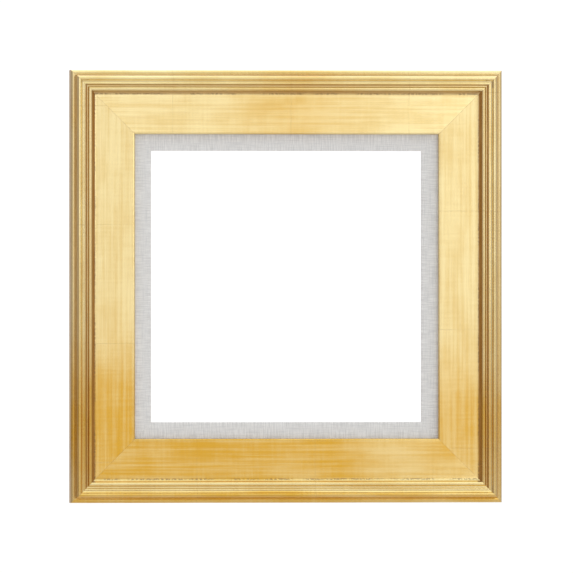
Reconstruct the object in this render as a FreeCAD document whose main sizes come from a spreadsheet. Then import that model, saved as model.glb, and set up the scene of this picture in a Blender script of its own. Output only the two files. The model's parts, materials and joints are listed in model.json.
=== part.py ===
import FreeCAD, Part
import math
import os
import types

import Sketcher

# A square gilded picture frame with a linen-covered liner, for a 12 in panel or canvas.
#
# Row frame: the moulding's back is the plane y = 0 and the wall is on its +Y side. The face looks
# along -Y, +Z is up and +X is to the right of someone who looks at the face. The origin is the
# centre of the back plane. Every mitred length is drawn once, as the top one of its set of four,
# and turned about Y into its place.
#
# A cross-section is drawn in two distances: "across", from the frame's outer edge towards the
# opening, and "height", from the back plane towards the face.

# alias, millimetres, meaning
DIMENSIONS = [
    ("sight_opening", 295.0, "clear opening between the liner's sight edges"),
    ("liner_show", 17.8, "width of liner that shows inside the moulding"),
    ("moulding_width", 69.85, "face width of the moulding, 2 3/4 in"),
    ("mitre_gap", 0.04, "half of the glue line in a mitre"),

    ("side_height", 25.5, "height of the moulding's plain outer side"),
    ("back_chamfer", 1.0, "chamfer on the back's outer edge"),
    ("outer_bead_width", 5.2, "low bead along the outer edge"),
    ("outer_bead_rise", 2.2, "rise across the low bead"),
    ("outer_bead_radius", 3.3, "radius of the low bead"),
    ("riser_across", 6.9, "top of the steep riser behind the low bead"),
    ("riser_height", 35.4, "height of that riser's top"),
    ("crest_across", 11.2, "inner foot of the crest bead"),
    ("crest_height", 38.0, "height at the crest bead's inner foot"),
    ("crest_top", 40.0, "highest point of the crest bead"),
    ("crest_middle", 9.4, "distance of the crest's highest point"),
    ("crest_radius", 2.9, "radius of the crest bead"),
    ("slope_across", 13.5, "foot of the hollow inside the crest"),
    ("slope_height", 36.5, "height of that foot"),
    ("slope_radius", 4.5, "radius of the hollow inside the crest"),
    ("fillet_across", 15.8, "inner side of the small bead"),
    ("fillet_radius", 1.2, "radius of the small bead"),
    ("quirk_across", 18.6, "inner side of the narrow quirk"),
    ("quirk_depth", 1.6, "depth of the quirk"),
    ("quirk_draft", 0.3, "slope of the quirk's sides"),
    ("inner_bead_across", 23.0, "inner side of the inner bead"),
    ("inner_bead_height", 35.6, "height of the inner bead's foot"),
    ("inner_bead_radius", 2.35, "radius of the inner bead"),
    ("cove_across", 27.3, "foot of the cove that meets the panel"),
    ("cove_radius", 4.4, "radius of that cove"),
    ("panel_outer_height", 31.9, "height of the wide panel at the cove"),
    ("panel_inner_height", 30.6, "height of the panel at the sight edge"),
    ("sight_edge_radius", 1.6, "rounding of the gilded sight edge"),
    ("rabbet_width", 9.5, "width of the moulding's rabbet, 3/8 in"),
    ("rabbet_height", 25.0, "height of the ledge that the liner rests on"),

    ("liner_clearance", 1.0, "play between the liner and the rabbet"),
    ("liner_back", 6.0, "height of the liner's back"),
    ("liner_drop", 1.2, "fall of the liner's face towards the opening"),
    ("liner_lip_width", 6.35, "lip in front of the picture, 1/4 in"),
    ("picture_depth", 19.5, "depth of the picture's rebate, from the back plane"),
    ("liner_edge_radius", 1.0, "rounding of the liner's sight edge"),
    ("linen_thickness", 0.6, "linen and its paper backing"),

    ("v_nail_leg", 6.0, "length of each leg of a V-nail"),
    ("v_nail_gauge", 0.6, "thickness of a V-nail"),
    ("v_nail_depth", 10.0, "height of a moulding V-nail"),
    ("v_nail_first", 16.0, "outer V-nail, from the outer edges"),
    ("v_nail_second", 42.0, "inner V-nail, from the outer edges"),
    ("liner_nail_depth", 7.0, "height of a liner V-nail"),
    ("liner_nail_inset", 67.5, "liner V-nail, from the outer edges"),

    ("point_length", 15.0, "length of a framing point"),
    ("point_width", 5.0, "width of a framing point"),
    ("point_gauge", 0.5, "thickness of a framing point"),
    ("point_bite", 8.0, "length of a point that is in the wood"),
    ("point_offset", 95.0, "points stand this far each side of a rail's middle"),
    ("point_play", 0.1, "space between a point and the liner's back"),

    ("button_inset", 54.0, "turn button's pivot, from the outer edge"),
    ("button_reach", 33.0, "pivot to the button's far tip"),
    ("button_width", 11.0, "width of a turn button"),
    ("button_gauge", 1.0, "thickness of a turn button"),
    ("button_lift", 0.3, "space under and over a turn button"),
    ("button_play", 0.08, "play of a button on its screw, on the radius"),

    ("screw_radius", 1.75, "wood screw's shank"),
    ("screw_head_radius", 3.5, "wood screw's pan head"),
    ("screw_head_height", 1.9, "height of the pan head"),
    ("screw_length", 15.0, "screw below the back plane"),
    ("screw_tip", 4.0, "length of the screw's point"),
    ("pilot_radius", 1.3, "pilot hole, smaller than the shank so that the thread bites"),
    ("pilot_depth", 13.0, "depth of a pilot hole"),
    ("recess_arm", 1.9, "half length of the cross recess"),
    ("recess_width", 0.9, "width of the cross recess"),
    ("recess_depth", 1.1, "depth of the cross recess"),

    ("hanger_inset", 31.0, "hanger's middle, from the outer edge"),
    ("hanger_height", 95.0, "ring's axis above the frame's middle"),
    ("strap_width", 12.0, "width of the hanger strap"),
    ("strap_gauge", 1.0, "thickness of one layer of the folded strap"),
    ("strap_length", 52.0, "ring's axis to the strap's lower end"),
    ("strap_corner", 4.0, "rounding of the strap's lower corners"),
    ("strap_screw_first", 26.0, "ring's axis to the upper screw"),
    ("strap_screw_second", 44.0, "ring's axis to the lower screw"),
    ("strap_hole_radius", 2.0, "screw hole in the strap"),
    ("ring_wire_radius", 1.25, "ring's wire"),
    ("ring_play", 0.1, "play of the ring in its loop, on the radius"),
    ("ring_half_width", 9.25, "ring's middle to the centre line of its side"),
    ("ring_reach", 20.0, "ring's axis to the centre line of its far end"),
    ("ring_corner", 3.0, "bend at the ends of the ring's bar"),
    ("ring_lean", 3.5, "degrees the hanging ring leans off its strap"),

    ("bumper_radius", 6.35, "wall bumper"),
    ("bumper_height", 5.0, "bumper's height off the back plane"),
    ("bumper_rounding", 1.5, "rounding of the bumper's rim"),
    ("bumper_across", 14.0, "bumper's centre, from the lower edge"),
    ("bumper_along", 203.0, "bumper's centre, from the frame's middle"),
]

# Turns that carry the top length to its place, clockwise to someone who looks at the face.
TURNS = {"top": 0.0, "right": 90.0, "bottom": 180.0, "left": 270.0}

SHEET_NAME = "Dimensions"
DOWN_Y = True            # value of Reversed that makes an XZ pocket cut towards -Y
CUT_MARGIN = 2.0         # how far a cutting outline runs past the wood


class Size:
    """A length that keeps its spreadsheet expression together with its present value."""

    def __init__(self, text, value):
        self.text = text
        self.value = value

    def join(self, other, sign, result):
        return Size(f"({self.text} {sign} {other.text})", result)

    def __add__(self, other):
        other = as_size(other)
        return self.join(other, "+", self.value + other.value)

    def __sub__(self, other):
        other = as_size(other)
        return self.join(other, "-", self.value - other.value)

    def __mul__(self, other):
        other = as_size(other)
        return self.join(other, "*", self.value * other.value)

    def __truediv__(self, other):
        other = as_size(other)
        return self.join(other, "/", self.value / other.value)

    def __neg__(self):
        return as_size(0.0) - self


def as_size(number):
    """Lets a plain number stand beside a Size in a sum."""
    if isinstance(number, Size):
        return number
    return Size(repr(float(number)), float(number))


def make_sheet(doc):
    """Writes the dimensions to a spreadsheet and returns them as Sizes, by alias."""
    sheet = doc.addObject("Spreadsheet::Sheet", SHEET_NAME)
    for row, (alias, value, meaning) in enumerate(DIMENSIONS, start=1):
        sheet.set(f"A{row}", meaning)
        sheet.set(f"B{row}", str(value))
        sheet.setAlias(f"B{row}", alias)
    doc.recompute()
    return types.SimpleNamespace(
        **{alias: Size(f"{SHEET_NAME}.{alias}", value) for alias, value, _ in DIMENSIONS})


def bind(thing, prop, size):
    """Ties a property to the sheet."""
    thing.setExpression(prop, as_size(size).text)


# ---------------------------------------------------------------- sketches and features


def new_body(doc, label):
    body = doc.addObject("PartDesign::Body", label)
    body.Label = label
    return body


def new_sketch(body, name, role, origin=(0.0, 0.0, 0.0)):
    """A sketch on one of the body's origin planes, moved by origin in the plane's own axes."""
    sketch = body.newObject("Sketcher::SketchObject", name)
    plane = next(f for f in body.Origin.OriginFeatures if f.Role == role)
    sketch.AttachmentSupport = [(plane, "")]
    sketch.MapMode = "FlatFace"
    for axis, distance in zip("xyz", origin):
        bind(sketch, f"AttachmentOffset.Base.{axis}", distance)
    return sketch


def add_bound(sketch, *constraint):
    """Adds a constraint whose last entry is a Size, and ties it to the sheet."""
    *place, size = constraint
    size = as_size(size)
    index = sketch.addConstraint(Sketcher.Constraint(*place, size.value))
    sketch.setExpression(f"Constraints[{index}]", size.text)


def arc_middle(start, end, radius):
    """Middle of the arc from start to end that bulges left of its travel, or right if radius < 0."""
    chord = end - start
    left = FreeCAD.Vector(-chord.y, chord.x, 0).normalize() * math.copysign(1.0, radius)
    to_centre = math.sqrt(max(radius ** 2 - (chord.Length / 2) ** 2, 0.0))
    return start + chord / 2 + left * (abs(radius) - to_centre)


def draw_outline(sketch, corners):
    """Draws a closed outline of lines and arcs, with every corner and radius tied to the sheet.

    A corner is (x, y), or (x, y, radius) where an arc leaves it: the arc bulges to the left of
    its travel, or to the right where the radius is negative.
    """
    spots = [FreeCAD.Vector(as_size(c[0]).value, as_size(c[1]).value, 0) for c in corners]
    count = len(corners)
    sides = []               # (geometry, point that it starts from, point that it ends at)
    for i in range(count):
        start, end = spots[i], spots[(i + 1) % count]
        if len(corners[i]) == 2:
            side = (sketch.addGeometry(Part.LineSegment(start, end)), 1, 2)
        else:
            radius = as_size(corners[i][2])
            middle = arc_middle(start, end, radius.value)
            if radius.value > 0:
                side = (sketch.addGeometry(Part.ArcOfCircle(end, middle, start)), 2, 1)
                add_bound(sketch, "Radius", side[0], radius)
            else:
                side = (sketch.addGeometry(Part.ArcOfCircle(start, middle, end)), 1, 2)
                add_bound(sketch, "Radius", side[0], -radius)
        sides.append(side)
    for i, (geometry, tail, head) in enumerate(sides):
        add_bound(sketch, "DistanceX", -1, 1, geometry, tail, corners[i][0])
        add_bound(sketch, "DistanceY", -1, 1, geometry, tail, corners[i][1])
        following, next_tail, _ = sides[(i + 1) % count]
        sketch.addConstraint(
            Sketcher.Constraint("Coincident", geometry, head, following, next_tail))


def draw_circle(sketch, x, y, radius):
    x, y, radius = as_size(x), as_size(y), as_size(radius)
    centre = FreeCAD.Vector(x.value, y.value, 0)
    circle = sketch.addGeometry(Part.Circle(centre, FreeCAD.Vector(0, 0, 1), radius.value))
    add_bound(sketch, "DistanceX", -1, 1, circle, 3, x)
    add_bound(sketch, "DistanceY", -1, 1, circle, 3, y)
    add_bound(sketch, "Radius", circle, radius)


def add_feature(body, kind, name, profile, **settings):
    """Adds a PartDesign feature from a sketch. A setting that is a Size is tied to the sheet."""
    feature = body.newObject(f"PartDesign::{kind}", name)
    feature.Profile = profile
    for prop, value in settings.items():
        if isinstance(value, Size):
            bind(feature, prop, value)
        else:
            setattr(feature, prop, value)
    body.Document.recompute()
    return feature


def cut(body, name, profile, **settings):
    """A pocket that has to take some of the solid away."""
    before = body.Shape.Volume
    feature = add_feature(body, "Pocket", name, profile, **settings)
    if not body.Shape.Volume < before:
        raise RuntimeError(f"{body.Label}: {name} cuts nothing")
    return feature


def copy_around(body, name, originals, count=4):
    """Repeats features evenly about the body's Y axis."""
    body.Document.recompute()
    pattern = body.newObject("PartDesign::PolarPattern", name)
    axis = next(f for f in body.Origin.OriginFeatures if f.Role == "Y_Axis")
    pattern.Originals = originals
    pattern.Axis = (axis, [""])
    pattern.Angle = 360
    pattern.Occurrences = count
    body.Tip = pattern
    body.Document.recompute()
    return pattern


def turned(body, name, corners, origin=(0.0, 0.0, 0.0)):
    """A solid turned about the Y direction through origin, from an outline of (radius, y)."""
    sketch = new_sketch(body, f"{name}_outline", "XY_Plane", origin)
    draw_outline(sketch, corners)
    return add_feature(body, "Revolution", name, sketch,
                       ReferenceAxis=(sketch, ["V_Axis"]), Angle=360.0)


def place(body, side="top", base=(0.0, 0.0, 0.0)):
    """Moves a body to base, given for the top length, and turns both to the named side."""
    turn = FreeCAD.Rotation(FreeCAD.Vector(0, 1, 0), TURNS[side])
    body.Placement = FreeCAD.Placement(turn.multVec(FreeCAD.Vector(*base)), turn)


# ---------------------------------------------------------------- mitred lengths


def mitred_length(doc, label, half, section):
    """A length with both ends cut at 45 degrees, from a section of (across, height) corners.

    The sketch plane shows the section as its mirror image, so each arc changes hand.
    """
    body = new_body(doc, label)
    profile = new_sketch(body, f"{label}_section", "YZ_Plane")
    corners = [(-corner[1], half - corner[0], *(-radius for radius in corner[2:]))
               for corner in section]
    draw_outline(profile, corners)
    add_feature(body, "Pad", f"{label}_pad", profile, SideType="Symmetric", Length=half * 2)
    widest = max((corner[0] for corner in section), key=lambda size: as_size(size).value)
    ends = new_sketch(body, f"{label}_mitres", "XZ_Plane")
    outside = half + CUT_MARGIN
    inside = half - widest - CUT_MARGIN
    glue_line = DIM.mitre_gap * math.sqrt(2)
    for hand in (1, -1):
        draw_outline(ends, [((inside - glue_line) * hand, inside),
                            ((outside - glue_line) * hand, outside),
                            (outside * hand, inside)])
    cut(body, f"{label}_mitre_cuts", ends, SideType="Symmetric", Type="ThroughAll")
    return body


def moulding_section():
    """The gilded moulding: low bead, riser, crest, two beads with a quirk, cove and wide panel."""
    beads_inside = DIM.moulding_width - DIM.rabbet_width
    quirk_floor = DIM.slope_height - DIM.quirk_depth
    return [
        (DIM.back_chamfer, 0),
        (0, DIM.back_chamfer),
        (0, DIM.side_height, DIM.outer_bead_radius),
        (DIM.outer_bead_width, DIM.side_height + DIM.outer_bead_rise),
        (DIM.riser_across, DIM.riser_height, DIM.crest_radius),
        (DIM.crest_middle, DIM.crest_top, DIM.crest_radius),
        (DIM.crest_across, DIM.crest_height, -DIM.slope_radius),
        (DIM.slope_across, DIM.slope_height, DIM.fillet_radius),
        (DIM.fillet_across, DIM.slope_height),
        (DIM.fillet_across + DIM.quirk_draft, quirk_floor),
        (DIM.quirk_across - DIM.quirk_draft, quirk_floor),
        (DIM.quirk_across, DIM.slope_height - DIM.quirk_draft, DIM.inner_bead_radius),
        (DIM.inner_bead_across, DIM.inner_bead_height, -DIM.cove_radius),
        (DIM.cove_across, DIM.panel_outer_height),
        (DIM.moulding_width - DIM.sight_edge_radius, DIM.panel_inner_height,
         DIM.sight_edge_radius),
        (DIM.moulding_width, DIM.panel_inner_height - DIM.sight_edge_radius),
        (DIM.moulding_width, DIM.rabbet_height),
        (beads_inside, DIM.rabbet_height),
        (beads_inside, 0),
    ]


def drill(body, label, spots):
    """Pilot holes from the back plane, at (x, z) spots of the top length."""
    sketch = new_sketch(body, f"{label}_pilots", "XZ_Plane")
    for x, z in spots:
        draw_circle(sketch, x, z, DIM.pilot_radius)
    cut(body, f"{label}_pilot_holes", sketch, Reversed=DOWN_Y, Length=DIM.pilot_depth)


def strap_screw_heights():
    return [DIM.hanger_height - drop for drop in (DIM.strap_screw_first, DIM.strap_screw_second)]


def make_moulding(doc):
    """Four gilded lengths. The upright ones are also drilled for the hangers' screws."""
    for side in TURNS:
        label = f"rail_{side}"
        body = mitred_length(doc, label, HALF, moulding_section())
        spots = [(0, HALF - DIM.button_inset)]
        if side in ("left", "right"):
            upwards = 1 if side == "left" else -1
            spots += [(height * upwards, HALF - DIM.hanger_inset)
                      for height in strap_screw_heights()]
        drill(body, label, spots)
        place(body, side)


def liner_outer():
    return DIM.moulding_width - DIM.rabbet_width + DIM.liner_clearance


def liner_sight():
    return DIM.moulding_width + DIM.liner_show


def make_liner(doc):
    """Four bare wooden lengths, each with its linen as a thin folded strip of its own."""
    outer, sight = liner_outer(), liner_sight()
    rebate = sight - DIM.liner_lip_width
    face, edge = DIM.rabbet_height, DIM.rabbet_height - DIM.liner_drop
    cloth = DIM.linen_thickness
    round_out = DIM.liner_edge_radius
    round_in = round_out - cloth
    core = [
        (outer, DIM.liner_back),
        (outer, face - cloth),
        (sight - round_out, edge - cloth, round_in),
        (sight - cloth, edge - round_out),
        (sight - cloth, DIM.picture_depth + cloth),
        (rebate, DIM.picture_depth + cloth),
        (rebate, DIM.liner_back),
    ]
    linen = [
        (outer, face - cloth),
        (outer, face),
        (sight - round_out, edge, round_out),
        (sight, edge - round_out),
        (sight, DIM.picture_depth),
        (rebate, DIM.picture_depth),
        (rebate, DIM.picture_depth + cloth),
        (sight - cloth, DIM.picture_depth + cloth),
        (sight - cloth, edge - round_out, -round_in),
        (sight - round_out, edge - cloth),
    ]
    for side in TURNS:
        place(mitred_length(doc, f"liner_{side}", HALF, core), side)
        place(mitred_length(doc, f"linen_{side}", HALF, linen), side)


# ---------------------------------------------------------------- fasteners


def draw_v_nail(sketch, inset):
    """A V-nail seen from behind: one leg in each length, its bend on the mitre."""
    bend = HALF - inset
    tip = bend - DIM.v_nail_leg
    inner = bend - DIM.v_nail_gauge
    draw_outline(sketch, [(bend, bend), (bend, tip), (inner, tip),
                          (inner, inner), (tip, inner), (tip, bend)])


def make_v_nails(doc, label, insets, back, depth):
    """V-nails at all four corners, driven in from the height of the wood's back."""
    body = new_body(doc, label)
    sketch = new_sketch(body, f"{label}_plan", "XZ_Plane", (0, 0, back))
    for inset in insets:
        draw_v_nail(sketch, inset)
    pad = add_feature(body, "Pad", f"{label}_pad", sketch, Length=depth)
    copy_around(body, f"{label}_corners", [pad])


def make_liner_points(doc):
    """Steel points in the rabbet's wall, two to a side, which lie across the liner's back."""
    label = "liner_points"
    body = new_body(doc, label)
    back = DIM.liner_back - DIM.point_play - DIM.point_gauge
    wall = HALF - DIM.moulding_width + DIM.rabbet_width
    root = wall + DIM.point_bite
    tip = root - DIM.point_length
    half_width = DIM.point_width / 2
    shoulder = tip + half_width
    plan = new_sketch(body, f"{label}_plan", "XZ_Plane", (0, 0, back))
    for hand in (1, -1):
        middle = DIM.point_offset * hand
        draw_outline(plan, [(middle - half_width, shoulder), (middle - half_width, root),
                            (middle + half_width, root), (middle + half_width, shoulder),
                            (middle, tip)])
    pad = add_feature(body, "Pad", f"{label}_pad", plan, Length=DIM.point_gauge)
    copy_around(body, f"{label}_sides", [pad])


def add_screw(body, name, x, z, seat):
    """A pan-head wood screw with a cross recess: its head sits at height seat over the back."""
    head_top = seat + DIM.screw_head_height
    crown = DIM.screw_head_height / 2
    shank = turned(body, name, [
        (0, -DIM.screw_length),
        (DIM.screw_radius, DIM.screw_tip - DIM.screw_length),
        (DIM.screw_radius, seat),
        (DIM.screw_head_radius, seat),
        (DIM.screw_head_radius, head_top - crown, -crown),
        (DIM.screw_head_radius - crown, head_top),
        (0, head_top),
    ], (x, 0, z))
    recess = new_sketch(body, f"{name}_recess", "XZ_Plane", (x, z, -head_top))
    arm, side = DIM.recess_arm, DIM.recess_width / 2
    draw_outline(recess, [(side, arm), (side, side), (arm, side), (arm, -side), (side, -side),
                          (side, -arm), (-side, -arm), (-side, -side), (-arm, -side),
                          (-arm, side), (-side, side), (-side, arm)])
    slot = cut(body, f"{name}_cross", recess, Reversed=DOWN_Y, Length=DIM.recess_depth)
    return [shank, slot]


# ---------------------------------------------------------------- turn buttons


def make_turn_buttons(doc):
    """Four flat steel buttons, parked along their rails, and the screws that they turn on."""
    tip_radius = DIM.button_width / 2
    straight = DIM.button_reach - tip_radius
    for side in TURNS:
        label = f"turn_button_{side}"
        body = new_body(doc, label)
        plan = new_sketch(body, f"{label}_plan", "XZ_Plane")
        draw_outline(plan, [
            (0, tip_radius),
            (straight, tip_radius, tip_radius),
            (DIM.button_reach, 0, tip_radius),
            (straight, -tip_radius),
            (0, -tip_radius, tip_radius),
            (-tip_radius, 0, tip_radius),
        ])
        draw_circle(plan, 0, 0, DIM.screw_radius + DIM.button_play)
        add_feature(body, "Pad", f"{label}_pad", plan, Reversed=True, Length=DIM.button_gauge)
        place(body, side, (0, DIM.button_lift.value, (HALF - DIM.button_inset).value))
    label = "turn_button_screws"
    body = new_body(doc, label)
    seat = DIM.button_lift * 2 + DIM.button_gauge
    screw = add_screw(body, "button_screw", 0, HALF - DIM.button_inset, seat)
    copy_around(body, f"{label}_sides", screw)


# ---------------------------------------------------------------- hangers


def make_hanger(doc, side, hand):
    """A strap folded round a D-ring's bar. The ring hangs down over the strap, just off it."""
    axis_height = DIM.ring_wire_radius + DIM.ring_play + DIM.strap_gauge
    folded = DIM.strap_gauge * 2
    x = (HALF - DIM.hanger_inset).value * hand
    strap_label = f"hanger_strap_{side}"
    strap = new_body(doc, strap_label)
    section = new_sketch(strap, f"{strap_label}_section", "YZ_Plane")
    meet = math.sqrt(axis_height.value ** 2 - (axis_height.value - folded.value) ** 2)
    draw_outline(section, [
        (0, -DIM.strap_length),
        (0, 0, axis_height),
        (axis_height, axis_height, axis_height),
        (axis_height * 2, 0, axis_height),
        (folded, -meet),
        (folded, -DIM.strap_length),
    ])
    draw_circle(section, axis_height, 0, DIM.ring_wire_radius + DIM.ring_play)
    add_feature(strap, "Pad", f"{strap_label}_pad", section,
                SideType="Symmetric", Length=DIM.strap_width)
    holes = new_sketch(strap, f"{strap_label}_holes", "XZ_Plane")
    for drop in (DIM.strap_screw_first, DIM.strap_screw_second):
        draw_circle(holes, 0, -drop, DIM.strap_hole_radius)
    half_width, corner = DIM.strap_width / 2, DIM.strap_corner
    for sign in (1, -1):
        draw_outline(holes, [
            (half_width * sign, corner - DIM.strap_length, corner * sign),
            ((half_width - corner) * sign, -DIM.strap_length),
            ((half_width - corner) * sign, -DIM.strap_length - CUT_MARGIN),
            ((half_width + CUT_MARGIN) * sign, -DIM.strap_length - CUT_MARGIN),
            ((half_width + CUT_MARGIN) * sign, corner - DIM.strap_length),
        ])
    cut(strap, f"{strap_label}_cuts", holes, SideType="Symmetric", Type="ThroughAll")
    strap.Placement.Base = FreeCAD.Vector(x, 0, DIM.hanger_height.value)

    ring_label = f"d_ring_{side}"
    ring = new_body(doc, ring_label)
    path = new_sketch(ring, f"{ring_label}_path", "XZ_Plane")
    wide, far, bend = DIM.ring_half_width, DIM.ring_reach, DIM.ring_corner
    draw_outline(path, [
        (0, 0),
        (wide - bend, 0, bend),
        (wide, -bend),
        (wide, wide - far, wide),
        (0, -far, wide),
        (-wide, wide - far),
        (-wide, -bend, bend),
        (bend - wide, 0),
    ])
    wire = new_sketch(ring, f"{ring_label}_wire", "YZ_Plane")
    draw_circle(wire, 0, 0, DIM.ring_wire_radius)
    add_feature(ring, "AdditivePipe", f"{ring_label}_bend", wire, Spine=(path, []))
    lean = FreeCAD.Rotation(FreeCAD.Vector(1, 0, 0), DIM.ring_lean.value)
    centre = FreeCAD.Vector(x, axis_height.value, DIM.hanger_height.value)
    ring.Placement = FreeCAD.Placement(centre, lean)


def make_hanger_screws(doc):
    """Two screws for each strap."""
    body = new_body(doc, "hanger_screws")
    features = []
    for name, height in zip(("upper", "lower"), strap_screw_heights()):
        features += add_screw(body, f"{name}_screw", HALF - DIM.hanger_inset, height,
                              DIM.strap_gauge * 2)
    mirror = body.newObject("PartDesign::Mirrored", "hanger_screws_mirrored")
    plane = next(f for f in body.Origin.OriginFeatures if f.Role == "YZ_Plane")
    mirror.Originals = features
    mirror.MirrorPlane = (plane, [""])
    body.Tip = mirror


def make_bumpers(doc):
    """A soft round bumper at each lower corner, which keeps the frame off the wall."""
    for side, hand in (("left", -1), ("right", 1)):
        body = new_body(doc, f"wall_bumper_{side}")
        turned(body, f"bumper_{side}", [
            (0, 0),
            (DIM.bumper_radius, 0),
            (DIM.bumper_radius, DIM.bumper_height - DIM.bumper_rounding, -DIM.bumper_rounding),
            (DIM.bumper_radius - DIM.bumper_rounding, DIM.bumper_height),
            (0, DIM.bumper_height),
        ])
        body.Placement.Base = FreeCAD.Vector(
            DIM.bumper_along.value * hand, 0, (DIM.bumper_across - HALF).value)


# ---------------------------------------------------------------- the whole frame


def check_and_write(doc):
    """Stops if anything failed, and writes one STEP file for each body."""
    doc.recompute()
    for thing in doc.Objects:
        if "Invalid" in thing.State or "Error" in thing.State:
            raise RuntimeError(f"{thing.Label} failed: {thing.State}")
    bodies = [thing for thing in doc.Objects if thing.TypeId == "PartDesign::Body"]
    for body in bodies:
        if body.Shape.isNull() or not body.Shape.isValid():
            raise RuntimeError(f"{body.Label} has no valid shape")
    os.makedirs("parts", exist_ok=True)
    for body in bodies:
        body.Shape.exportStep(os.path.join("parts", f"{body.Label}.step"))
        box = body.Shape.BoundBox
        print(f"{body.Label:24s} solids {len(body.Shape.Solids)}  volume {body.Shape.Volume:10.1f}"
              f"  y {box.YMin:7.2f} to {box.YMax:6.2f}")


DOC = FreeCAD.newDocument("LinerFrame")
DIM = make_sheet(DOC)
HALF = DIM.sight_opening / 2 + DIM.liner_show + DIM.moulding_width

make_moulding(DOC)
make_v_nails(DOC, "moulding_v_nails", (DIM.v_nail_first, DIM.v_nail_second), 0, DIM.v_nail_depth)
make_liner(DOC)
make_v_nails(DOC, "liner_v_nails", (DIM.liner_nail_inset,), DIM.liner_back, DIM.liner_nail_depth)
make_liner_points(DOC)
make_turn_buttons(DOC)
for hanger_side, hanger_hand in (("left", -1), ("right", 1)):
    make_hanger(DOC, hanger_side, hanger_hand)
make_hanger_screws(DOC)
make_bumpers(DOC)
check_and_write(DOC)
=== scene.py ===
import json
import math

import bmesh
import bpy
import numpy as np
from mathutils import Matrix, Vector


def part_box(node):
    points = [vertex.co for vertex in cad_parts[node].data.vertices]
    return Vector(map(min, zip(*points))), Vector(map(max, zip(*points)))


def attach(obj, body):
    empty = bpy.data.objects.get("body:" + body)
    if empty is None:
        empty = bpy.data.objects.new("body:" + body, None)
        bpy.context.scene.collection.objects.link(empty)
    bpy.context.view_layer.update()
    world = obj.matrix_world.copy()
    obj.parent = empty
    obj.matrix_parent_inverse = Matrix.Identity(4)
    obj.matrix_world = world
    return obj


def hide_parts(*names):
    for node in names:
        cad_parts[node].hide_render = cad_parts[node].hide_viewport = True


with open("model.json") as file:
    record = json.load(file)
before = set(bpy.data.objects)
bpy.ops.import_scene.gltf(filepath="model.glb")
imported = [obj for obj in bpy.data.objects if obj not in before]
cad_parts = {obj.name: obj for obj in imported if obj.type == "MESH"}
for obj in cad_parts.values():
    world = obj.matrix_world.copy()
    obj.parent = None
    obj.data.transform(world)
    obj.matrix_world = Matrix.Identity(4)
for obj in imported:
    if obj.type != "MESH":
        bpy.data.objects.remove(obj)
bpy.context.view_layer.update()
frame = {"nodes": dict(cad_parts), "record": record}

# A gilded frame with a linen liner. The face looks along -Y, +Z is up, and the wall is on the +Y
# side. Every size is in metres. The gilded lengths and the linen are built here from the sections
# of the CAD lengths that they replace; the hardware is the CAD's own, with materials.

MM = 0.001
SIDES = {"top": 0.0, "right": 90.0, "bottom": 180.0, "left": 270.0}   # turn about Y, in degrees

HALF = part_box("rail_top")[1].z                    # middle of the frame to its outer edge
LEDGE = -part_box("linen_top")[0].y                 # back plane to the liner's face

FACE_STARTS = 25 * MM                             # height just under the plain outer side's top
LEAF_PITCH = 129 * MM                             # lap to lap of the metal leaf
THREAD_PITCH = 0.62 * MM                          # linen thread to thread
MITRE_GAP = 0.004 * MM                            # what each end is short of the mitre plane

# Where the leaf was started on each length: the middle's distance from a lap, on a scale that
# gives each length its own stretch of every pattern.
LAP_STARTS = {"top": -4.5 * MM + 5 * LEAF_PITCH, "right": -47 * MM + 14 * LEAF_PITCH,
              "bottom": 31 * MM + 23 * LEAF_PITCH, "left": 62 * MM + 32 * LEAF_PITCH}

# Where the painted shade is deepest, a deeper gold where the lengths catch less light: x and z of
# the middle, how far it reaches, and how strong it is.
PAINTED_SHADE_SPOTS = (
    ((0.010, 0.20), 0.065, 0.60),
    ((-0.02, -0.20), 0.130, 1.4),
    ((-0.20, -0.155), 0.075, 1.3),
    ((0.20, -0.15), 0.070, 0.9),
)

# How much of the dark wash and painted shade each length gets, set by how much light falls on its
# hollows: the bottom one, lit from above, gets the least.
WASH_AND_SHADE_LEFT = {"top": 0.6, "right": 1.0, "bottom": 0.15, "left": 1.0}

# The light that the studio sends from each direction: where it comes from, how sharply it is
# gathered there, and its colour. The directions and sharpness were chosen one by one. The colours
# were not: a separate least-squares program fitted them, with the softboxes' strengths and colour,
# so that the face's tones come near the photograph's, and they were then scaled and rounded.
GLOWS = (
    ((0, -1, 0), 12, (0.41, 0.40, 0.41)),
    ((0, -1, 0.55), 12, (0.13, 0.15, 0.16)),
    ((0, -1, -0.55), 12, (1.36, 1.44, 1.49)),
    ((0, -0.45, 1), 12, (0.84, 1.04, 1.09)),
    ((0, 1, 1), 5, (1.95, 1.84, 1.96)),
    ((1, -1, 1), 6, (0.84, 0.86, 0.88)),
    ((-1, -1, 1), 6, (0.20, 0.21, 0.26)),
    ((-1, -0.8, 0.1), 12, (0.19, 0.17, 0.19)),
    ((1, 0, 0), 5, (0.33, 0.29, 0.29)),
    ((-1, 0, 0), 5, (0.09, 0.06, 0.08)),
    ((0, 0, 1), 0, (0.26, 0.26, 0.266)),
)


# ---------------------------------------------------------------- shader nodes


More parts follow.
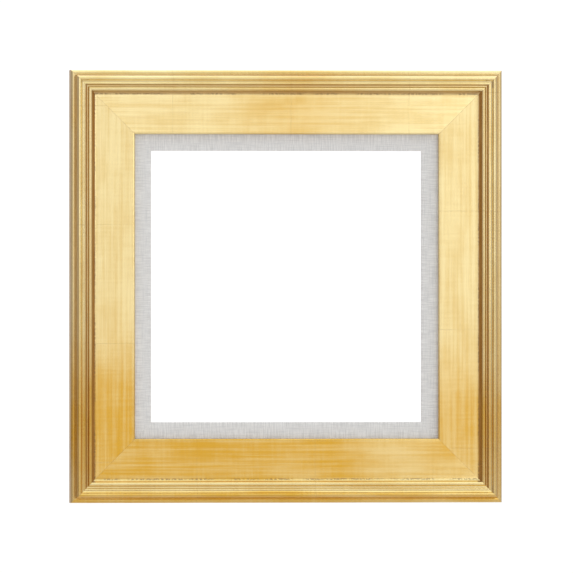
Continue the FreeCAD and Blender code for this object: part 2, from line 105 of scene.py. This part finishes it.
class Nodes:
    """Adds shader nodes to one material and joins them up."""

    def __init__(self, name):
        self.material = bpy.data.materials.new(name)
        self.material.use_nodes = True
        self.tree = self.material.node_tree
        self.shader = self.tree.nodes["Principled BSDF"]

    def plug(self, socket, value):
        """Joins an output to a socket, or writes a constant on it."""
        if isinstance(value, bpy.types.NodeSocket):
            self.tree.links.new(value, socket)
        elif isinstance(value, tuple) and len(value) == 3 and len(socket.default_value) == 4:
            socket.default_value = (*value, 1.0)
        else:
            socket.default_value = value

    def add(self, kind, inputs, output=0, **settings):
        node = self.tree.nodes.new(kind)
        for name, value in settings.items():
            setattr(node, name, value)
        for name, value in inputs.items():
            self.plug(node.inputs[name], value)
        return node.outputs[output]

    def surface(self, **values):
        """Sets the principled shader's sockets: base_color means 'Base Color'."""
        for name, value in values.items():
            title = name.replace("_", " ").title().replace("Ior", "IOR")
            self.plug(self.shader.inputs[title], value)

    def uv(self):
        """Along the length and round the section, in metres."""
        return self.add("ShaderNodeUVMap", {}, uv_map="metres")

    def place(self):
        """The point's place in the frame, in metres."""
        return self.add("ShaderNodeTexCoord", {}, output="Object")

    def attribute(self, name):
        return self.add("ShaderNodeAttribute", {}, output="Fac", attribute_name=name)

    def stretch(self, vector, scale, offset=(0.0, 0.0, 0.0)):
        return self.add("ShaderNodeMapping", {"Vector": vector, "Scale": scale, "Location": offset})

    def noise(self, vector, scale, detail=2.0, roughness=0.5, distortion=0.0):
        return self.add("ShaderNodeTexNoise", {
            "Vector": vector, "Scale": scale, "Detail": detail, "Roughness": roughness,
            "Distortion": distortion}, output="Fac")

    def cells(self, vector, scale):
        """Distance to the nearest of many scattered points."""
        return self.add("ShaderNodeTexVoronoi", {"Vector": vector, "Scale": scale},
                        output="Distance")

    def math(self, operation, *values, clamp=False):
        inputs = dict(enumerate(values))
        return self.add("ShaderNodeMath", inputs, operation=operation, use_clamp=clamp)

    def range(self, value, low, high, to_low=0.0, to_high=1.0):
        return self.add("ShaderNodeMapRange", {
            "Value": value, "From Min": low, "From Max": high,
            "To Min": to_low, "To Max": to_high}, interpolation_type="SMOOTHSTEP")

    def mix(self, amount, first, second, blend_type="MIX"):
        node = self.tree.nodes.new("ShaderNodeMix")
        node.data_type = "RGBA"
        node.blend_type = blend_type
        for index, value in ((0, amount), (6, first), (7, second)):
            self.plug(node.inputs[index], value)
        return node.outputs[2]

    def split(self, vector):
        node = self.tree.nodes.new("ShaderNodeSeparateXYZ")
        self.plug(node.inputs[0], vector)
        return node.outputs[0], node.outputs[1], node.outputs[2]

    def bump(self, height, distance, strength=1.0, under=None):
        inputs = {"Height": height, "Distance": distance, "Strength": strength}
        if under is not None:
            inputs["Normal"] = under
        return self.add("ShaderNodeBump", inputs)


# ---------------------------------------------------------------- materials


def leaf_laps(nodes, along, shift):
    """A thin line wherever one leaf overlaps the next, 1 on the line and 0 elsewhere."""
    turns = nodes.math("DIVIDE", nodes.math("ADD", along, shift), LEAF_PITCH)
    from_lap = nodes.math("ABSOLUTE", nodes.math("SUBTRACT", nodes.math("FRACT", turns), 0.5))
    return nodes.range(from_lap, 0.5 - 0.8 * MM / LEAF_PITCH, 0.5)


def gold_leaf():
    """Composition leaf over red-brown bole, rubbed along the length, with a dark wash and painted
    shade in the hollows, and painted shade as deeper gold where the lengths catch less light."""
    nodes = Nodes("gold_leaf")
    uv = nodes.uv()
    along, _, _ = nodes.split(uv)
    ridge = nodes.attribute("ridge")

    fine = nodes.noise(nodes.stretch(uv, (22, 1500, 1)), 1.0, 3.0, 0.6)
    broad = nodes.noise(nodes.stretch(uv, (7, 300, 1), (3.1, 0, 0)), 1.0, 3.0)
    cloud = nodes.noise(nodes.stretch(uv, (16, 26, 1), (0.7, 2.0, 0)), 1.0, 3.0, 0.6)
    wobble = nodes.noise(nodes.stretch(uv, (0.5, 90, 1)), 1.0, 2.0)
    lap = leaf_laps(nodes, nodes.math("MULTIPLY_ADD", wobble, 2.5 * MM, along), -1.25 * MM)

    crossing = nodes.noise(nodes.stretch(uv, (420, 24, 1), (5.0, 0, 0)), 1.0, 2.0)
    tone = nodes.math("MULTIPLY_ADD", broad, 0.45, nodes.math("MULTIPLY", cloud, 0.42))
    tone = nodes.math("MULTIPLY_ADD", crossing, 0.13, tone)
    gold = nodes.mix(nodes.range(tone, 0.34, 0.62), (0.78, 0.57, 0.22), (0.89, 0.72, 0.35))
    # Painted shade: deeper, darker gold where the lengths catch less light.
    painted_shade = nodes.math("MULTIPLY", nodes.attribute("painted_shade"),
                        nodes.range(tone, 0.36, 0.62, 1.0, 0.62))
    gold = nodes.mix(painted_shade, gold, (0.68, 0.36, 0.015))
    gold = nodes.mix(nodes.math("MULTIPLY", nodes.range(fine, 0.45, 0.75), 0.24),
                     gold, (0.62, 0.34, 0.08))
    lap_shows = nodes.math("MULTIPLY", lap, nodes.range(cloud, 0.35, 0.6, 0.08, 0.26))
    gold = nodes.mix(lap_shows, gold, (0.50, 0.30, 0.09))

    # The dark wash with painted shade: darker leaf in the hollows.
    wash = nodes.math("MULTIPLY", nodes.attribute("wash"), nodes.range(cloud, 0.2, 0.6, 0.75, 1.0))
    joint = nodes.attribute("joint")
    # The wash and its painted shade, and the dark mitre joints.
    dirt_and_shade = nodes.math("MAXIMUM", wash, nodes.range(joint, 0.35, 0.9, 0.0, 0.35))
    gold = nodes.mix(dirt_and_shade, gold, (0.36, 0.15, 0.012))

    chips = nodes.noise(nodes.stretch(uv, (420, 900, 1)), 1.0, 3.0, 0.65)
    patches = nodes.noise(nodes.stretch(uv, (30, 30, 1), (9.0, 0, 0)), 1.0, 2.0)
    rub = nodes.math("MULTIPLY", ridge, nodes.range(patches, 0.50, 0.74))
    rub = nodes.range(nodes.math("MULTIPLY_ADD", rub, 0.15, chips), 0.78, 0.86)
    crumbs = nodes.noise(nodes.stretch(uv, (430, 260, 1), (2.0, 0, 0)), 1.0, 2.0, 0.6)
    runs = nodes.noise(nodes.stretch(uv, (26, 1, 1), (6.0, 0, 0)), 1.0, 2.0)
    crumbs = nodes.math("MULTIPLY", nodes.range(crumbs, 0.43, 0.53),
                        nodes.range(runs, 0.40, 0.52))
    crumbs = nodes.math("MULTIPLY", crumbs, nodes.attribute("foot"))
    specks = nodes.math("MAXIMUM", rub, crumbs, clamp=True)
    color = nodes.mix(nodes.math("MULTIPLY", specks, 0.8), gold, (0.20, 0.090, 0.025))

    nodes.surface(
        base_color=color,
        metallic=nodes.range(nodes.math("MAXIMUM", specks, dirt_and_shade), 0.0, 1.0, 1.0, 0.35),
        roughness=nodes.math("MULTIPLY_ADD", fine, 0.08, nodes.math(
            "MULTIPLY_ADD", dirt_and_shade, 0.20, 0.18)),
        anisotropic=0.2,
        anisotropic_rotation=0.25,
        tangent=nodes.add("ShaderNodeTangent", {}, direction_type="UV_MAP", uv_map="metres"),
        specular_ior_level=0.15,
        coat_weight=0.5,
        coat_ior=1.6,
        coat_roughness=0.13,
    )
    brush = nodes.bump(fine, 0.05 * MM, 0.3)
    orange_peel = nodes.bump(nodes.noise(nodes.stretch(uv, (60, 420, 1)), 1.0, 2.0),
                             0.05 * MM, 0.15, brush)
    nodes.surface(normal=nodes.bump(nodes.math("ADD", lap, specks), 0.03 * MM, 0.6, orange_peel))
    return nodes.material


def side_paint():
    """The frame's plain outer side: thin bronze paint brushed over red-brown ground."""
    nodes = Nodes("side_paint")
    uv = nodes.uv()
    strokes = nodes.noise(nodes.stretch(uv, (14, 700, 1)), 1.0, 3.0, 0.6)
    cloud = nodes.noise(nodes.stretch(uv, (20, 40, 1)), 1.0, 3.0)
    color = nodes.mix(nodes.range(strokes, 0.35, 0.7), (0.47, 0.29, 0.10), (0.62, 0.42, 0.17))
    color = nodes.mix(nodes.range(cloud, 0.5, 0.8, 0.0, 0.6), color, (0.26, 0.12, 0.05))
    nodes.surface(base_color=color, metallic=0.75, roughness=0.48)
    nodes.surface(normal=nodes.bump(strokes, 0.08 * MM, 0.5))
    return nodes.material


def grain(nodes, vector, pale, dark, pitch):
    """Straight wood grain that runs along the vector's first axis."""
    warp = nodes.noise(nodes.stretch(vector, (6, 60, 60)), 1.0, 2.0)
    rings = nodes.noise(nodes.stretch(vector, (2.2, 1 / pitch, 1 / pitch)), 1.0, 3.0, 0.62, 0.6)
    pores = nodes.noise(nodes.stretch(vector, (60, 3200, 3200)), 1.0, 2.0, 0.6)
    mixed = nodes.mix(nodes.range(rings, 0.36, 0.66), pale, dark)
    mixed = nodes.mix(nodes.range(warp, 0.45, 0.7, 0.0, 0.35), mixed, dark)
    mixed = nodes.mix(nodes.range(pores, 0.55, 0.75, 0.0, 0.4), mixed, dark)
    return mixed, pores, rings


def rail_wood():
    """Bare basswood on the moulding's back and in its rabbet, with stray size and bole."""
    nodes = Nodes("rail_wood")
    uv = nodes.uv()
    color, pores, rings = grain(nodes, uv, (0.62, 0.45, 0.27), (0.44, 0.28, 0.145), 7 * MM)
    stain = nodes.noise(nodes.stretch(uv, (9, 34, 1)), 1.0, 4.0, 0.6)
    color = nodes.mix(nodes.range(stain, 0.58, 0.70, 0.0, 0.45), color, (0.30, 0.13, 0.07))
    nodes.surface(base_color=color, roughness=0.78, specular_ior_level=0.3)
    relief = nodes.bump(pores, 0.08 * MM, 0.6)
    nodes.surface(normal=nodes.bump(rings, 0.15 * MM, 0.35, relief))
    return nodes.material


def liner_wood(side):
    """Pale finger-jointed pine, its grain along the length."""
    nodes = Nodes(f"liner_wood_{side}")
    x, y, z = nodes.split(nodes.place())
    length, width = (x, z) if side in ("top", "bottom") else (z, x)
    vector = nodes.add("ShaderNodeCombineXYZ", {"X": length, "Y": width, "Z": y})
    color, pores, rings = grain(nodes, vector, (0.74, 0.56, 0.35), (0.56, 0.37, 0.19), 5 * MM)
    nodes.surface(base_color=color, roughness=0.72, specular_ior_level=0.3)
    nodes.surface(normal=nodes.bump(pores, 0.08 * MM, 0.5))
    return nodes.material


def linen_cloth():
    """Plain weave: threads round the section and along it, some of them thick and slubby, with
    painted shade between the threads.
    """
    nodes = Nodes("linen_cloth")
    uv = nodes.uv()
    bend = nodes.noise(nodes.stretch(uv, (300, 300, 1)), 1.0, 1.0)
    along, across, _ = nodes.split(uv)
    along = nodes.math("MULTIPLY_ADD", bend, 0.25 * THREAD_PITCH, along)
    across = nodes.math("MULTIPLY_ADD", bend, 0.25 * THREAD_PITCH, across)
    warp = nodes.math("SINE", nodes.math("MULTIPLY", along, math.pi / THREAD_PITCH))
    weft = nodes.math("SINE", nodes.math("MULTIPLY", across, math.pi / THREAD_PITCH))
    over = nodes.math("MULTIPLY_ADD", nodes.math("MULTIPLY", warp, weft), 4.0, 0.5, clamp=True)
    warp_round = nodes.math("ABSOLUTE", warp)
    weft_round = nodes.math("ABSOLUTE", weft)
    threads = nodes.math("ADD", nodes.math("MULTIPLY", over, warp_round), nodes.math(
        "MULTIPLY", nodes.math("SUBTRACT", 1.0, over), weft_round))
    slub_across = nodes.noise(nodes.stretch(uv, (900, 55, 1)), 1.0, 2.0, 0.7)
    slub_along = nodes.noise(nodes.stretch(uv, (45, 800, 1), (4.0, 0, 0)), 1.0, 2.0, 0.7)
    blotch = nodes.noise(nodes.stretch(uv, (60, 60, 1)), 1.0, 2.0)
    color = nodes.mix(nodes.range(slub_across, 0.34, 0.66), (0.70, 0.672, 0.63),
                      (0.86, 0.83, 0.78))
    color = nodes.mix(nodes.range(slub_along, 0.30, 0.55, 0.45, 0.0), color, (0.58, 0.565, 0.54))
    # Painted shade: darker where the threads dip, between them.
    color = nodes.mix(nodes.range(threads, 0.0, 0.6, 0.35, 0.0), color, (0.52, 0.49, 0.45))
    color = nodes.mix(nodes.range(blotch, 0.5, 0.8, 0.0, 0.2), color, (0.82, 0.77, 0.70))
    nodes.surface(base_color=color, roughness=0.85, specular_ior_level=0.2,
                  sheen_weight=0.12, sheen_roughness=0.5)
    weave = nodes.bump(threads, 0.12 * MM, 0.7)
    slubs = nodes.math("ADD", slub_across, nodes.math("MULTIPLY", slub_along, 0.6))
    nodes.surface(normal=nodes.bump(slubs, 0.12 * MM, 0.5, weave))
    return nodes.material


def plated_steel(name, color, roughness, scratch):
    """Plated steel with fine handling scratches and faint clouding."""
    nodes = Nodes(name)
    here = nodes.place()
    cloud = nodes.noise(here, 260.0, 3.0)
    lines = nodes.noise(nodes.stretch(here, (5200, 700, 700)), 1.0, 2.0, 0.7)
    grains = nodes.cells(here, 900.0)
    shade = nodes.mix(nodes.range(cloud, 0.35, 0.7), color, tuple(0.80 * c for c in color))
    shade = nodes.mix(nodes.range(grains, 0.2, 0.7, 0.0, 0.25), shade,
                      tuple(0.7 * c for c in color))
    nodes.surface(base_color=shade, metallic=1.0,
                  roughness=nodes.range(cloud, 0.3, 0.7, roughness, roughness + 0.14))
    nodes.surface(normal=nodes.bump(lines, 0.02 * MM, scratch))
    return nodes.material


def bumper_rubber():
    """Soft matt rubber with a fine moulded grain and a little dust."""
    nodes = Nodes("bumper_rubber")
    here = nodes.place()
    grain_height = nodes.noise(here, 2600.0, 2.0)
    dust = nodes.noise(here, 420.0, 4.0, 0.6)
    color = nodes.mix(nodes.range(dust, 0.5, 0.75, 0.0, 0.5), (0.028, 0.027, 0.026),
                      (0.11, 0.10, 0.09))
    nodes.surface(base_color=color, roughness=0.72)
    nodes.surface(normal=nodes.bump(grain_height, 0.05 * MM, 0.6))
    return nodes.material


# ---------------------------------------------------------------- sections and sweeps


def read_section(node):
    """The outline of a top length as (across, height) rows, read off its right-hand mitre."""
    shape = bmesh.new()
    shape.from_mesh(frame["nodes"][node].data)
    bmesh.ops.remove_doubles(shape, verts=shape.verts, dist=0.001 * MM)
    shape.normal_update()
    outward = Vector((1, 0, -1)).normalized()
    cap = {face for face in shape.faces if face.normal.dot(outward) > 0.999}
    neighbours = {}
    for edge in shape.edges:
        if sum(face in cap for face in edge.link_faces) == 1:
            first, second = edge.verts
            neighbours.setdefault(first, []).append(second)
            neighbours.setdefault(second, []).append(first)
    start = min(neighbours, key=lambda v: (round(-v.co.y, 6), -v.co.z))
    loop, before = [start], None
    while True:
        here = loop[-1]
        onward = [v for v in neighbours[here] if v is not before]
        step = max(onward, key=lambda v: v.co.z) if before is None else onward[0]
        if step is start:
            break
        before = here
        loop.append(step)
    rows = np.array([(HALF - v.co.z, -v.co.y) for v in loop])
    shape.free()
    return rows


def soften(rows, step, blur):
    """Resamples a closed outline every step and rounds its corners with a blur of that length."""
    closed = np.vstack([rows, rows[:1]])
    travelled = np.concatenate([[0], np.cumsum(np.linalg.norm(np.diff(closed, axis=0), axis=1))])
    count = int(travelled[-1] / step)
    spots = np.arange(count) * travelled[-1] / count
    even = np.stack([np.interp(spots, travelled, closed[:, i]) for i in (0, 1)], axis=1)
    reach = np.arange(count)
    reach = np.minimum(reach, count - reach) * step
    weights = np.exp(-0.5 * (reach / blur) ** 2)
    weights /= weights.sum()
    spectrum = np.fft.rfft(weights)
    return np.stack([np.fft.irfft(np.fft.rfft(even[:, i]) * spectrum, count) for i in (0, 1)],
                    axis=1)


def thin_out(rows, turn, longest):
    """Keeps the points of a fine outline where it has turned, or run on, far enough."""
    ahead = np.roll(rows, -1, axis=0) - rows
    heading = np.unwrap(np.arctan2(ahead[:, 1], ahead[:, 0]))
    kept, angle, run = [0], heading[0], 0.0
    for i in range(1, len(rows)):
        run += np.linalg.norm(rows[i] - rows[i - 1])
        if abs(heading[i] - angle) > turn or run > longest:
            kept.append(i)
            angle, run = heading[i], 0.0
    return np.array(kept)


def ripple(along, across, seed, waves, stretch=1.0):
    """Smooth unevenness between about -1 and 1, from a few crossing waves of given lengths."""
    rng = np.random.default_rng(seed)
    total = np.zeros(np.broadcast(along, across).shape)
    for length in waves:
        direction = rng.uniform(-0.6, 0.6)
        phase = rng.uniform(0, 2 * math.pi)
        total = total + np.sin(2 * math.pi * (along * math.cos(direction) / length
                                              + across * math.sin(direction) * stretch / length)
                               + phase)
    return total / math.sqrt(len(waves))


class Sweep:
    """A mitred length as a grid of points: rings along it, an outline round it."""

    def __init__(self, outline, spacing):
        across, height = outline[:, 0], outline[:, 1]
        edges = np.linalg.norm(np.roll(outline, -1, axis=0) - outline, axis=1)
        self.round = np.concatenate([[0], np.cumsum(edges)])
        reach = HALF - across - MITRE_GAP
        close = np.array([0.0, 0.12, 0.3, 0.7, 1.5]) * MM
        middle = np.linspace(-1, 1, int(2 * reach.max() / spacing))
        self.along = np.vstack([
            close[:, None] - reach,
            middle[1:-1, None] * (reach - close[-1]),
            reach - close[::-1, None]])
        from_mitre = reach.max() - np.abs(self.along[:, np.argmax(reach)])
        self.from_mitre = np.broadcast_to(from_mitre[:, None], self.along.shape)
        self.across = np.broadcast_to(across, self.along.shape).copy()
        self.height = np.broadcast_to(height, self.along.shape).copy()
        tangent = np.roll(outline, -1, axis=0) - np.roll(outline, 1, axis=0)
        tangent /= np.linalg.norm(tangent, axis=1)[:, None]
        self.out = np.stack([-tangent[:, 1], tangent[:, 0]], axis=1)

    def push(self, amount):
        """Moves the surface outwards by amount."""
        self.across += amount * self.out[:, 0]
        self.height += amount * self.out[:, 1]

    def build(self, name, side, start, attributes, materials, zones):
        """Makes the mesh object. The UV map's first axis runs along the length, from start at
        its middle. zones gives each strip of faces its material's number."""
        rings, count = self.along.shape
        turn = math.radians(SIDES[side])
        x, z = self.along, HALF - self.across
        points = np.stack([x * math.cos(turn) + z * math.sin(turn), -self.height,
                           z * math.cos(turn) - x * math.sin(turn)], axis=-1).reshape(-1, 3)
        ring, spot = np.meshgrid(np.arange(rings - 1), np.arange(count), indexing="ij")
        after = (spot + 1) % count
        quads = np.stack([ring * count + spot, ring * count + after,
                          (ring + 1) * count + after, (ring + 1) * count + spot], axis=-1)
        quads = quads.reshape(-1, 4)
        caps = [list(range(count))[::-1], [(rings - 1) * count + i for i in range(count)]]
        mesh = bpy.data.meshes.new(name)
        mesh.from_pydata(points.tolist(), [], quads.tolist() + caps)
        layer = mesh.uv_layers.new(name="metres")
        u = start + np.stack([self.along[ring, spot], self.along[ring, after],
                              self.along[ring + 1, after], self.along[ring + 1, spot]], axis=-1)
        low, high = self.round[spot], self.round[spot + 1]
        v = np.stack([low, high, high, low], axis=-1)
        quad_uv = np.stack([u, v], axis=-1).reshape(-1, 2)
        cap_uv = [np.stack([self.across[end], self.height[end]], axis=-1) for end in (0, -1)]
        cap_uv[0] = cap_uv[0][::-1]
        layer.data.foreach_set("uv", np.vstack([quad_uv, *cap_uv]).astype(np.float32).ravel())
        for title, values in attributes.items():
            field = mesh.attributes.new(title, "FLOAT", "POINT")
            spread = np.broadcast_to(values, (rings, count)).astype(np.float32)
            field.data.foreach_set("value", np.ascontiguousarray(spread).ravel())
        for material in materials:
            mesh.materials.append(material)
        numbers = np.concatenate([np.tile(zones, rings - 1), [0, 0]]).astype(np.int32)
        mesh.polygons.foreach_set("material_index", numbers)
        mesh.polygons.foreach_set("use_smooth", np.ones(len(numbers), bool))
        shape = bmesh.new()
        shape.from_mesh(mesh)
        ends = [face for face in shape.faces if len(face.verts) > 4]
        bmesh.ops.triangulate(shape, faces=ends)
        bmesh.ops.recalc_face_normals(shape, faces=shape.faces)
        shape.to_mesh(mesh)
        shape.free()
        mesh.set_sharp_from_angle(angle=math.radians(50))
        thing = bpy.data.objects.new(name, mesh)
        bpy.context.scene.collection.objects.link(thing)
        return thing


# ---------------------------------------------------------------- the pieces


def washed_and_shaded(across, height):
    """Where the dark wash and painted shade lie: in the quirks, in the cove and behind the low
    bead, partly a real antiquing wash and partly painted shade in these hollows. Each spot is its
    middle from the outer edge and its half width, in millimetres, and its strength."""
    spots = ((3.4, 1.2, 0.35), (5.7, 0.8, 0.9), (16.5, 1.1, 1.1),
             (20.9, 0.5, 0.4), (23.1, 0.9, 1.0), (24.9, 1.1, 1.2))
    total = np.zeros(len(across))
    for middle, half_width, strength in spots:
        total += strength * np.exp(-((across / MM - middle) / half_width) ** 2)
    return np.where(height > FACE_STARTS, np.clip(total, 0, 1), 0)


def near_foot(across):
    """The line where the cove's foot meets the panel, where crumbs of the wash were caught."""
    foot, half_width = 25.8, 0.7
    return np.exp(-((across / MM - foot) / half_width) ** 2)


def painted_shade_depth(side, along, across):
    """How deep the painted shade is at each point of a length, from the spots in the frame's own
    plane. The bottom length gets painted shade along its outer beads too, which face down, and its
    cove, which faces up to the light, is kept clear of it."""
    turn = math.radians(SIDES[side])
    out = HALF - across
    x = along * math.cos(turn) + out * math.sin(turn)
    z = out * math.cos(turn) - along * math.sin(turn)
    total = np.zeros(x.shape)
    for (spot_x, spot_z), reach, strength in PAINTED_SHADE_SPOTS:
        total += strength * np.exp(-((x - spot_x) ** 2 + (z - spot_z) ** 2) / reach ** 2)
    # Painted shade on the bottom's down-facing outer beads, and none in its up-facing cove.
    if side == "bottom":
        beads_middle, beads_reach = 5.0, 5.5
        cove_middle, cove_reach = 19.0, 6.9
        total += 0.55 * np.exp(-((across / MM - beads_middle) / beads_reach) ** 4)
        total *= 1 - 0.9 * np.exp(-((across / MM - cove_middle) / cove_reach) ** 8)
    return np.clip(total, 0, 1)


def ridges(rows, step):
    """How sharply an even outline turns outwards at each point: 0 to 1."""
    ahead = np.roll(rows, -1, axis=0) - rows
    heading = np.arctan2(ahead[:, 1], ahead[:, 0])
    turn = heading - np.roll(heading, 1)
    turn = (turn + math.pi) % (2 * math.pi) - math.pi
    if turn.sum() < 0:
        turn = -turn
    reach = int(2 * MM / step)
    offsets = np.arange(-reach, reach + 1)
    weights = np.exp(-0.5 * (offsets * step / (0.45 * MM)) ** 2)
    weights /= weights.sum() * step
    bend = sum(w * np.roll(turn, k) for w, k in zip(weights, offsets)) * MM
    return np.clip(bend / 0.9, 0, 1)


def make_rails(gilding, side_finish, wood):
    step = 0.12 * MM
    fine = soften(read_section("rail_top"), step, 0.50 * MM)
    ridge = ridges(fine, step)
    kept = thin_out(fine, math.radians(7), 2.2 * MM)
    outline = fine[kept]
    across, height = ((outline + np.roll(outline, -1, axis=0)) / 2).T
    # The dark wash and painted shade in the hollows, by place across the section.
    wash = washed_and_shaded(*outline.T)
    back = height < 1.2 * MM
    rabbet = (across > 60 * MM) & (across < 69.5 * MM) & (height < 25.4 * MM)
    outer_side = (across < 0.2 * MM) & (height < FACE_STARTS)
    zones = np.where(back | rabbet, 2, np.where(outer_side, 1, 0))
    for number, side in enumerate(SIDES):
        sweep = Sweep(outline, 2.4 * MM)
        slow = ripple(sweep.along, sweep.across, 10 + number, (0.19, 0.083, 0.047), 2.0)
        quick = ripple(sweep.along, sweep.across, 20 + number, (0.021, 0.013, 0.0093), 3.0)
        uneven = 0.03 + 0.012 * slow + 0.0025 * quick
        joint = np.exp(-sweep.from_mitre / (0.2 * MM))
        sweep.push(-(uneven + 0.012 * joint) * MM * (sweep.height > 10 * MM))
        piece = sweep.build(f"gilded_{side}", side, LAP_STARTS[side],
                            {"ridge": ridge[kept], "wash": wash * WASH_AND_SHADE_LEFT[side],
                             "foot": near_foot(outline[:, 0]),
                             "painted_shade": painted_shade_depth(side, sweep.along, sweep.across),
                             "joint": np.exp(-sweep.from_mitre / (0.5 * MM))},
                            (gilding, side_finish, wood), zones)
        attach(piece, "frame")
        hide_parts(f"rail_{side}")


def make_linen(cloth):
    """Each strip is one piece of linen, folded over the liner's lip and cut to its mitres."""
    fine = soften(read_section("linen_top"), 0.06 * MM, 0.10 * MM)
    kept = thin_out(fine, math.radians(14), 1.0 * MM)
    outline = fine[kept]
    front = outline[:, 1] > LEDGE - 2.2 * MM
    for number, side in enumerate(SIDES):
        sweep = Sweep(outline, 0.55 * MM)
        slubs = ripple(sweep.along, sweep.across, 40 + number,
                       (0.0062, 0.0043, 0.0031, 0.0023, 0.0017), 0.15)
        sweep.push(-(0.05 + 0.025 * slubs) * MM * front)
        piece = sweep.build(f"linen_strip_{side}", side, number * 1.0, {}, (cloth,),
                            np.zeros(len(outline), int))
        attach(piece, "frame")
        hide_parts(f"linen_{side}")


def dress_hardware():
    zinc = plated_steel("zinc_plate", (0.66, 0.67, 0.68), 0.26, 0.25)
    nail = plated_steel("nail_steel", (0.34, 0.34, 0.35), 0.34, 0.4)
    nickel = plated_steel("nickel_plate", (0.74, 0.72, 0.68), 0.16, 0.2)
    rubber = bumper_rubber()
    finishes = {"zinc_steel": zinc, "nail_steel": nail, "ring_nickel": nickel,
                "bumper_rubber": rubber}
    for part in frame["record"]["subparts"]:
        finish = finishes.get(part["material_slot"])
        if finish is not None:
            for slot in frame["nodes"][part["node"]].material_slots:
                slot.material = finish
    for side in SIDES:
        for slot in frame["nodes"][f"liner_{side}"].material_slots:
            slot.material = liner_wood(side)


# ---------------------------------------------------------------- studio


def make_floor():
    """A round pale floor, far enough below the frame to stay out of the level view."""
    radius, depth = 4.0, 0.62
    bpy.ops.mesh.primitive_circle_add(vertices=96, radius=radius, fill_type="NGON",
                                      location=(0, 0, -depth))
    floor = bpy.context.object
    floor.name = "studio_floor"
    nodes = Nodes("studio_floor")
    speckle = nodes.noise(nodes.place(), 40.0, 3.0)
    nodes.surface(base_color=nodes.mix(speckle, (0.74, 0.74, 0.73), (0.78, 0.78, 0.77)),
                  roughness=0.8)
    floor.data.materials.append(nodes.material)


def make_world():
    """White to the camera. To the object it is a sum of soft glows, each brightest one way."""
    world = bpy.data.worlds.new("studio")
    bpy.context.scene.world = world
    world.use_nodes = True
    tree = world.node_tree
    tree.nodes.clear()
    link = tree.links.new

    def vector_math(operation, first, second):
        """Joins up one vector step; either value may be an output or a constant."""
        step = tree.nodes.new("ShaderNodeVectorMath")
        step.operation = operation
        for socket, value in ((step.inputs[0], first), (step.inputs[1], second)):
            if isinstance(value, bpy.types.NodeSocket):
                link(value, socket)
            else:
                socket.default_value = value
        return step

    where = tree.nodes.new("ShaderNodeTexCoord").outputs["Generated"]
    total = None
    for direction, sharpness, color in GLOWS:
        facing = vector_math("DOT_PRODUCT", where, Vector(direction).normalized())
        power = tree.nodes.new("ShaderNodeMath")
        power.operation = "MULTIPLY_ADD"
        link(facing.outputs["Value"], power.inputs[0])
        power.inputs[1].default_value = sharpness
        power.inputs[2].default_value = -sharpness
        level = tree.nodes.new("ShaderNodeMath")
        level.operation = "EXPONENT"
        link(power.outputs[0], level.inputs[0])
        glow = vector_math("MULTIPLY", color, level.outputs[0]).outputs[0]
        total = glow if total is None else vector_math("ADD", total, glow).outputs[0]

    soft = tree.nodes.new("ShaderNodeBackground")
    link(total, soft.inputs["Color"])
    white = tree.nodes.new("ShaderNodeBackground")
    white.inputs["Color"].default_value = (1.05, 1.05, 1.05, 1)
    choose = tree.nodes.new("ShaderNodeMixShader")
    link(tree.nodes.new("ShaderNodeLightPath").outputs["Is Camera Ray"], choose.inputs[0])
    link(soft.outputs[0], choose.inputs[1])
    link(white.outputs[0], choose.inputs[2])
    link(choose.outputs[0], tree.nodes.new("ShaderNodeOutputWorld").inputs[0])


def aim(thing, target):
    thing.rotation_euler = (Vector(target) - thing.location).to_track_quat("-Z", "Y").to_euler()


def softbox(name, place, size, watts):
    data = bpy.data.lights.new(name, "AREA")
    data.shape = "RECTANGLE"
    data.size, data.size_y = size
    data.energy = watts
    data.color = (0.86, 0.93, 1.0)
    light = bpy.data.objects.new(name, data)
    light.location = place
    light.visible_camera = False
    aim(light, (0, 0, 0))
    bpy.context.scene.collection.objects.link(light)


def make_lights():
    softbox("softbox_left", (-0.5, -1.0, 0.3), (0.4, 0.6), 0.6)
    softbox("softbox_right", (0.8, -1.9, 0.5), (0.7, 1.0), 3.2)


def make_camera():
    """A very long lens, level with the frame's middle and a little to the left of square on."""
    distance = 12.0
    off_square = math.radians(4.8)
    width_seen = 623 * MM
    data = bpy.data.cameras.new("camera")
    data.sensor_width = 36.0
    data.lens = data.sensor_width * distance / width_seen
    data.clip_end = 100
    camera = bpy.data.objects.new("camera", data)
    middle = Vector((0, -LEDGE, 0))
    camera.location = middle + distance * Vector((-math.sin(off_square), -math.cos(off_square), 0))
    aim(camera, middle)
    bpy.context.scene.collection.objects.link(camera)
    bpy.context.scene.camera = camera


make_rails(gold_leaf(), side_paint(), rail_wood())
make_linen(linen_cloth())
dress_hardware()
make_floor()
make_world()
make_lights()
make_camera()
bpy.context.scene.view_settings.view_transform = "Standard"

bpy.context.view_layer.update()
